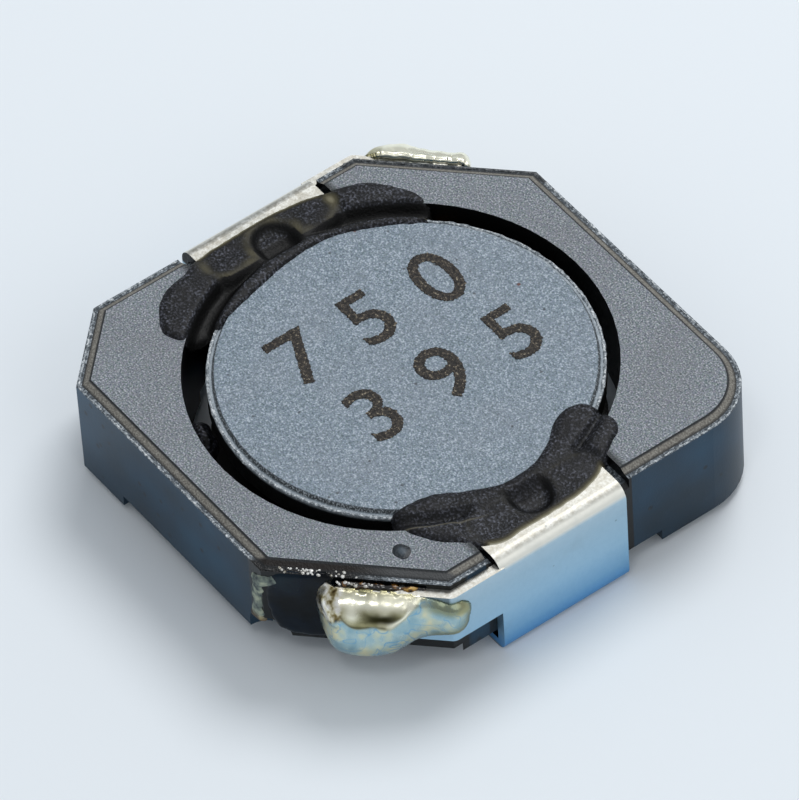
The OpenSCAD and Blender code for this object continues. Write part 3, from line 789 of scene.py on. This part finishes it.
gap_sag = 0.16
slot_sag = 0.16
closing = 0.10
lip_reach = 3.80
notch_gap = 0.14
slot_x = 4.075
slot_radius = 0.475
prong_radius = 0.35
lip_middle = (strip_low_y + strip_high_y) / 2 / MM
lip_half = (strip_high_y - strip_low_y) / 2 / MM
bore = bore_radius / MM
drum = drum_radius / MM

front_bead = [(2.85, -2.19), (2.93, -1.51), (3.25, -0.95), (3.54, -0.29), (3.51, 0.41), (3.27, 0.94),
              (2.91, 1.40), (2.81, 1.78), (2.95, 2.07), (3.25, 2.17), (3.60, 2.25), (3.84, 2.15),
              (4.06, 1.80), (4.27, 1.48), (4.46, 1.19), (4.60, 0.70), (4.62, 0.40), (4.64, 0.00),
              (4.64, -0.35), (4.64, -0.70), (4.65, -1.13), (4.46, -1.51), (4.31, -1.65), (3.92, -2.07),
              (3.45, -2.34), (3.10, -2.40)]
back_bead = [(-3.00, -1.87), (-3.26, -0.83), (-3.43, 0.02), (-3.41, 0.97), (-2.97, 1.96), (-2.70, 2.37),
             (-2.74, 2.72), (-3.20, 2.84), (-3.60, 2.66), (-4.09, 2.28), (-4.32, 1.75), (-4.52, 1.20),
             (-4.62, 0.60), (-4.64, 0.25), (-4.64, -0.25), (-4.63, -0.70), (-4.60, -1.15), (-4.52, -1.52),
             (-4.38, -1.82), (-4.24, -2.35), (-3.90, -2.74), (-3.42, -2.97), (-3.06, -2.80), (-2.98, -2.40)]


def blur(field, sigma, step):
    """Evens a field out over sigma; step is its grid's spacing."""
    reach = max(1, int(3 * sigma / step))
    weights = np.exp(-0.5 * (np.arange(-reach, reach + 1) * step / sigma) ** 2)
    weights /= weights.sum()
    field = np.pad(field, reach, mode="edge")
    field = np.apply_along_axis(np.convolve, 0, field, weights, "valid")
    return np.apply_along_axis(np.convolve, 1, field, weights, "valid")


def beyond_lip(x, y, side):
    """Distance from the edge of the lip, a plate with round corners and a slot with a round end;
    negative on the tin. side is 1 at the front, -1 behind."""
    reach = side * x
    across = np.abs(side * y - lip_middle)
    corner = np.hypot(np.minimum(reach - lip_reach - prong_radius, 0),
                      np.maximum(across - lip_half + prong_radius, 0))
    slot = slot_radius - np.hypot(np.maximum(reach - slot_x, 0), across)
    return np.maximum(np.maximum(corner - prong_radius, across - lip_half), slot)


def from_drum(x, y):
    return np.hypot(x - drum_middle.x / MM, y - drum_middle.y / MM)


def seat(x, y, side):
    """Height of what a bead lies on. Every edge is moved out by closing, so that the bead still
    covers it when the field is blurred; behind, the bead sinks deeper into the gap."""
    closed, sag = (closing, gap_sag) if side > 0 else (0.06, gap_sag + 0.12)
    in_notch = np.abs(side * y - lip_middle) < lip_half + notch_gap - closing
    top = np.full(x.shape, ring_top / MM)
    top = np.where((side * x > lip_reach) & in_notch, lip_z / MM - slot_sag, top)
    top = np.where(np.hypot(x, y) < bore - closed, ring_top / MM - sag, top)
    top = np.where(from_drum(x, y) < drum + closed - 0.03, drum_top / MM, top)
    return np.where(beyond_lip(x, y, side) < closing, lip_z / MM, top)


def bead_lay(side, seed):
    """Lays a bead: level over hollows, close over edges, thinner on the tin."""
    def lay(x, y, rise, full):
        step = x[0, 1] - x[0, 0]
        level = blur(seat(x, y, side), 0.06, step)
        on_tin = eased(side * x, 4.05, 4.35) * eased(np.abs(side * y - lip_middle), 1.5, 1.3)
        thin = np.where(rise > 0, 1 - 0.35 * on_tin, 1)
        lumps = 0.018 * noise_field(x, y, 0.45, seed)
        return np.stack([x, y, level + rise * thin + lumps * full], -1)
    return lay


def creased(side):
    """A line where the skin folded as it sank: along the bore in front, along the drum behind."""
    def line(x, y):
        edge = np.hypot(x, y) - (bore if side > 0 else drum + 0.02)
        edge = edge - 0.015 * noise_field(x, y, 0.3)
        return np.exp(-(edge / 0.016) ** 2) * eased(-y if side > 0 else y, 0.8, 1.4)
    return line


def glowing(side):
    """The lip's edge, where the resin is thin enough to show the tin."""
    width, strength = (0.06, 0.25) if side > 0 else (0.17, 0.52)

    def edge(x, y):
        blurred = width + 0.06 * noise_field(x, y, 0.5, 7.0)
        glow = np.exp(-((beyond_lip(x, y, side) + 0.02) / blurred) ** 2)
        return np.clip(glow * strength * (0.75 + 0.9 * noise_field(x, y, 0.4, 2.0)), 0, 1)
    return edge


def sunken(side):
    """Painted shade in deep places: the slot's far side, and behind also the gap."""
    def depth(x, y):
        away = beyond_lip(x, y, side)
        in_slot = (np.abs(side * y - lip_middle) < slot_radius) * (side * x < slot_x + slot_radius)
        shade = in_slot * np.exp(-((away - 0.09) / 0.07) ** 2)
        gulf = eased(np.hypot(x, y), bore + 0.02, bore - 0.04)
        gulf = gulf * eased(from_drum(x, y), drum - 0.02, drum + 0.05) * (away > 0)
        return np.clip(shade + gulf * (0.35 if side > 0 else 1.0), 0, 1)
    return depth


def filled_epoxy():
    # Black epoxy with mineral filler: charcoal, with a satin skin whose grains glitter violet-grey.
    # Where it thins out on tin the resin is olive brown, and a brown crease follows the gap. Deep
    # places carry near-black painted shade.
    material, tree, shader, place = new_material("filled_epoxy", roughness=0.5, ior=1.28)
    part = add(tree, "SeparateXYZ", {"Vector": place}).node.outputs
    film, crease, glow, sunk = (add(tree, "Attribute", attribute_name=name).node.outputs["Fac"]
                                for name in ("film", "crease", "glow", "sunk"))
    filler = add(tree, "TexNoise", {"Vector": place, "Scale": 1 / (0.05 * MM), "Detail": 2.0})
    mottle = add(tree, "TexNoise", {"Vector": place, "Scale": 1 / (0.45 * MM), "Detail": 2.0})
    calm = add(tree, "MapRange", {"Value": mottle, "From Min": 0.4, "From Max": 0.62, "To Max": 0.6})
    glowing_resin = add(tree, "ValToRGB", {"Fac": glow}, [(0.2, "#1d1c16"), (0.6, "#4a4635"),
                                                          (0.95, "#98927b")])
    glow = add(tree, "MapRange", {"Value": glow, "From Max": 0.5})
    crease = add(tree, "Math", {0: crease, 1: 0.5}, operation="MULTIPLY")
    dark = add(tree, "ValToRGB", {"Fac": filler}, [(0.36, "#050607"), (0.48, "#131518"), (0.58, "#34363d"),
                                                   (0.7, "#5c5e68")])
    # Painted shade: sunk makes the slot's far side and the gap near-black.
    for mask, layer in ((calm, "#0e0e11"), (glow, glowing_resin), (sunk, "#020202"), (crease, "#75705f")):
        dark = add(tree, "Mix", {"Factor": mask, "A": dark, "B": layer}, data_type="RGBA")

    across = add(tree, "Math", {0: part["X"]}, operation="ABSOLUTE")
    aside = add(tree, "Math", {0: part["Y"]}, operation="ABSOLUTE")
    over_lip = add(tree, "MapRange", {"Value": across, "From Min": 3.95 * MM, "From Max": 4.2 * MM})
    within = add(tree, "MapRange", {"Value": aside, "From Min": 1.48 * MM, "From Max": 1.35 * MM})
    on_tin = add(tree, "Math", {0: over_lip, 1: within}, operation="MULTIPLY")
    thin = add(tree, "MapRange", {"Value": film, "From Min": 0.6, "From Max": 0.0})
    veil = add(tree, "Math", {0: on_tin, 1: thin}, operation="MULTIPLY")
    resin = add(tree, "ValToRGB", {"Fac": veil}, [(0.0, "#15140f"), (0.5, "#343022"), (0.82, "#6f6a54"),
                                                  (1.0, "#b5b1a0")])
    show = add(tree, "MapRange", {"Value": veil, "From Min": 0.02, "From Max": 0.3})
    tree.links.new(add(tree, "Mix", {"Factor": show, "A": dark, "B": resin}, data_type="RGBA"),
                   shader.inputs["Base Color"])
    tree.links.new(add(tree, "Bump", {"Height": filler, "Distance": 0.012 * MM}), shader.inputs["Normal"])
    return material


epoxy_material = filled_epoxy()
for name, outline, side, seed, node in (("epoxy_front", front_bead, 1, 1.3, "adhesive_front"),
                                        ("epoxy_back", back_bead, -1, 5.1, "adhesive_back")):
    bead = poured(outline, bead_lay(side, seed), crown=0.07, edge=0.2, step=0.02, wall=0.12, ragged=0.014,
                  seed=seed, marks=[("crease", creased(side)), ("glow", glowing(side)),
                                    ("sunk", sunken(side))])
    settle(bead, name, epoxy_material, [node])

# What ran down the gap on the far side, and a drop with little filler that fell on the ring.
gap_low, gap_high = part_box("adhesive_gap")
deselect()
bpy.ops.mesh.primitive_ico_sphere_add(subdivisions=5, radius=1, location=(gap_low + gap_high) / 2 / MM)
run_down = bpy.context.object
run_down.scale = (0.45, 0.26, 0.42)
run_down.rotation_euler = (0, 0, math.radians(-21))
bpy.ops.object.transform_apply(location=True, rotation=True, scale=True)
roughen(run_down, 0.25, 0.12)
settle(run_down, "epoxy_in_gap", epoxy_material, ["adhesive_gap"])


def lean_epoxy():
    # A drop with little filler: half clear over the grey ferrite, darker at its rim.
    material, tree, shader, place = new_material("lean_epoxy", roughness=0.35, ior=1.3)
    film = add(tree, "Attribute", attribute_name="film").node.outputs["Fac"]
    grains = add(tree, "TexNoise", {"Vector": place, "Scale": 1 / (0.06 * MM), "Detail": 1.0})
    blend = add(tree, "Math", {0: film, 1: grains, 2: -0.5}, operation="ADD")
    tree.links.new(add(tree, "ValToRGB", {"Fac": film},
                       [(0.05, "#141b1f"), (0.5, "#232b31"), (0.95, "#444e56")]),
                   shader.inputs["Base Color"])
    tree.links.new(add(tree, "Bump", {"Height": blend, "Distance": 0.01 * MM}), shader.inputs["Normal"])
    return material


drop_low, drop_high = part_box("adhesive_drop")
drop_middle = (drop_low + drop_high) / 2 / MM
drop_outline = [(drop_middle.x + 0.19 * math.cos(a), drop_middle.y + 0.17 * math.sin(a))
                for a in np.linspace(0, 2 * math.pi, 10, endpoint=False)]
drop = poured(drop_outline, lambda x, y, rise, full: np.stack([x, y, ring_top / MM + rise], -1),
              crown=0.006, edge=0.13, step=0.012, wall=0.03, ragged=0.05)
settle(drop, "epoxy_drop", lean_epoxy(), ["adhesive_drop"])

# --- Rosin -----------------------------------------------------------------------------------
# Flux left by hand soldering: a dark glossy varnish on the front lead corner, which also stands
# for painted shade there, an amber fillet on the ear's upper edge, clear beads along the land,
# painted near-white as highlights, and a pale crust down the edge beside it.

corner_film_outline = [(2.2, 2.34), (2.2, 1.5), (2.3, 0.85), (2.8, 0.78), (3.22, 0.95), (3.38, 1.5),
                   (3.36, 2.1), (3.2, 2.34), (2.7, 2.36)]
crust_outline = [(3.22, 2.18), (3.47, 2.24), (3.66, 2.18), (3.76, 1.9), (3.78, 1.5), (3.82, 1.15),
                 (3.90, 1.0), (3.80, 0.92), (3.64, 0.98), (3.58, 1.3), (3.56, 1.7), (3.52, 2.0),
                 (3.34, 2.08)]
fillet_outline = [(0.45, 0.02), (0.9, 0.0), (1.5, -0.02), (1.9, -0.02), (2.06, 0.03), (2.0, 0.12),
                  (1.6, 0.14), (1.2, 0.15), (0.8, 0.11)]
bead_count = 48
beads_on_land = 34


def rosin_and_shade_film():
    # Burnt rosin over ferrite, with painted shade: nearly black, with the hard gloss of lacquer.
    material, tree, shader, place = new_material("rosin_and_shade_film", roughness=0.12, ior=1.25)
    waves = add(tree, "TexNoise", {"Vector": place, "Scale": 1 / (0.7 * MM), "Detail": 2.0})
    tree.links.new(add(tree, "ValToRGB", {"Fac": waves},
                       [(0.35, "#02070c"), (0.52, "#06121e"), (0.68, "#10202a")]),
                   shader.inputs["Base Color"])
    tree.links.new(add(tree, "Bump", {"Height": waves, "Distance": 0.05 * MM}), shader.inputs["Normal"])
    return material


def amber_rosin():
    # Set rosin: brown-black resin that turns amber where it is thin.
    material, tree, shader, place = new_material("amber_rosin", roughness=0.12, coat=0.5)
    crumbs = add(tree, "TexNoise", {"Vector": place, "Scale": 1 / (0.16 * MM), "Detail": 2.0})
    tree.links.new(add(tree, "ValToRGB", {"Fac": crumbs},
                       [(0.4, "#0a0704"), (0.56, "#1a1108"), (0.65, "#6a4512"), (0.74, "#c9a04a")]),
                   shader.inputs["Base Color"])
    tree.links.new(add(tree, "Bump", {"Height": crumbs, "Distance": 0.03 * MM}), shader.inputs["Normal"])
    return material


def clear_rosin_painted_highlight():
    # Small clear beads, painted grey-white all over as a painted highlight.
    material, tree, shader, place = new_material("clear_rosin_painted_highlight", roughness=0.08, coat=1.0)
    tint = add(tree, "TexNoise", {"Vector": place, "Scale": 1 / (0.15 * MM)})
    tree.links.new(add(tree, "ValToRGB", {"Fac": tint}, [(0.35, "#7d7768"), (0.6, "#d5d5d2")]),
                   shader.inputs["Base Color"])
    return material


def rosin_crust():
    # Dried flux salts: a thin chalky stain, greenish grey, with an orange-brown foot.
    material, tree, shader, place = new_material("rosin_crust", roughness=0.6)
    height = add(tree, "SeparateXYZ", {"Vector": place}).node.outputs["Z"]
    crumbs = add(tree, "TexNoise", {"Vector": place, "Scale": 1 / (0.16 * MM), "Detail": 2.0})
    pale = add(tree, "ValToRGB", {"Fac": crumbs}, [(0.35, "#2c373a"), (0.5, "#69746c"), (0.66, "#9da48f")])
    amber = add(tree, "ValToRGB", {"Fac": crumbs}, [(0.35, "#2b1f10"), (0.52, "#6d5328"), (0.68, "#b0934c")])
    foot = add(tree, "MapRange", {"Value": height, "From Min": 1.15 * MM, "From Max": 0.95 * MM})
    tree.links.new(add(tree, "Mix", {"Factor": foot, "A": pale, "B": amber}, data_type="RGBA"),
                   shader.inputs["Base Color"])
    tree.links.new(add(tree, "Bump", {"Height": crumbs, "Distance": 0.015 * MM}), shader.inputs["Normal"])
    return material


def wall_lay(u, z, rise, full):
    return on_corner(u, rise, z)


def fillet_lay(u, out, rise, full):
    return on_corner(u, out, ear_top + rise)


# A near-black film of rosin on the lead corner, which also stands for painted shade there.
corner_film = poured(corner_film_outline, wall_lay, crown=0.02, edge=0.2, step=0.03, wall=0.03, ragged=0.03,
                 seed=2.0)
settle(corner_film, "rosin_and_shade_film", rosin_and_shade_film())
crust = poured(crust_outline, wall_lay, crown=0.025, edge=0.06, step=0.012, wall=0.03, ragged=0.08,
               seed=8.0)
settle(crust, "rosin_crust", rosin_crust())
fillet = poured(fillet_outline, fillet_lay, crown=0.07, edge=0.08, step=0.015, wall=0.04, ragged=0.06,
                seed=4.0)
settle(fillet, "rosin_fillet", amber_rosin())

random.seed(11)
deselect()
beads = []
for number in range(bead_count):
    on_land = number < beads_on_land
    u = random.triangular(1.7, 3.3, 2.9) if on_land else random.uniform(0.9, 2.2)
    girth = random.uniform(0.012, 0.034)
    out = random.uniform(-0.14, -0.01) if on_land else random.uniform(0.02, 0.14)
    height = land_z / MM + 0.4 * girth if on_land else ear_top + 0.06
    bead_place = corner_start + along_corner * u + out_of_corner * out + Vector((0, 0, height))
    bpy.ops.mesh.primitive_ico_sphere_add(subdivisions=3, radius=girth, location=bead_place)
    bead = bpy.context.object
    bead.scale = (random.uniform(0.8, 1.5), random.uniform(0.8, 1.4), 0.7)
    beads.append(bead)
for bead in beads:
    bead.select_set(True)
bpy.ops.object.join()
settle(bpy.context.object, "rosin_beads", clear_rosin_painted_highlight())

# --- Stage -----------------------------------------------------------------------------------
# Not part of the object: a pale floor for it to stand on, three soft lamps, an even sky and the
# camera. The smallest lamp gives the solder and the tin their highlights.


def pale_floor():
    # Matt painted board, all one colour.
    material, _, shader, _ = new_material("pale_floor", roughness=0.85)
    shader.inputs["Base Color"].default_value = linear("#e4eaef")
    return material


deselect()
bpy.ops.mesh.primitive_plane_add(size=1.2, location=(0, 0, 0))
floor = bpy.context.object
floor.name = "floor"
floor.data.materials.append(pale_floor())


def soft_lamp(name, place, size, power):
    """A round lamp aimed at the part."""
    lamp = bpy.data.lights.new(name, "AREA")
    lamp.shape = "DISK"
    lamp.size = size
    lamp.energy = power
    holder = bpy.data.objects.new(name, lamp)
    holder.location = place
    holder.rotation_euler = (-Vector(place)).to_track_quat("-Z", "Y").to_euler()
    scene.collection.objects.link(holder)


soft_lamp("key", (-0.05, 0.10, 0.16), size=0.10, power=0.19)
soft_lamp("fill", (0.12, 0.02, 0.10), size=0.12, power=0.03)
soft_lamp("glint", (0.085, -0.115, 0.30), size=0.06, power=0.08)

world = bpy.data.worlds.new("soft_daylight")
scene.world = world
world.use_nodes = True
world.node_tree.nodes["Background"].inputs["Color"].default_value = linear("#eef3f8")
world.node_tree.nodes["Background"].inputs["Strength"].default_value = 0.55
scene.view_settings.view_transform = "Standard"

camera_place = Vector((99.872, -66.892, 136.209)) * MM
camera_aim = Vector((-0.281, 0.109, 1.2)) * MM
camera_roll = math.radians(-4)
camera_data = bpy.data.cameras.new("camera")
camera_data.lens = 434.76
camera_data.sensor_width = 36
camera_data.clip_start = 0.01
camera = bpy.data.objects.new("camera", camera_data)
scene.collection.objects.link(camera)
aimed = (camera_aim - camera_place).to_track_quat("-Z", "Y").to_matrix()
rolled = aimed @ Matrix.Rotation(camera_roll, 3, "Z")
camera.matrix_world = Matrix.Translation(camera_place) @ rolled.to_4x4()
scene.camera = camera
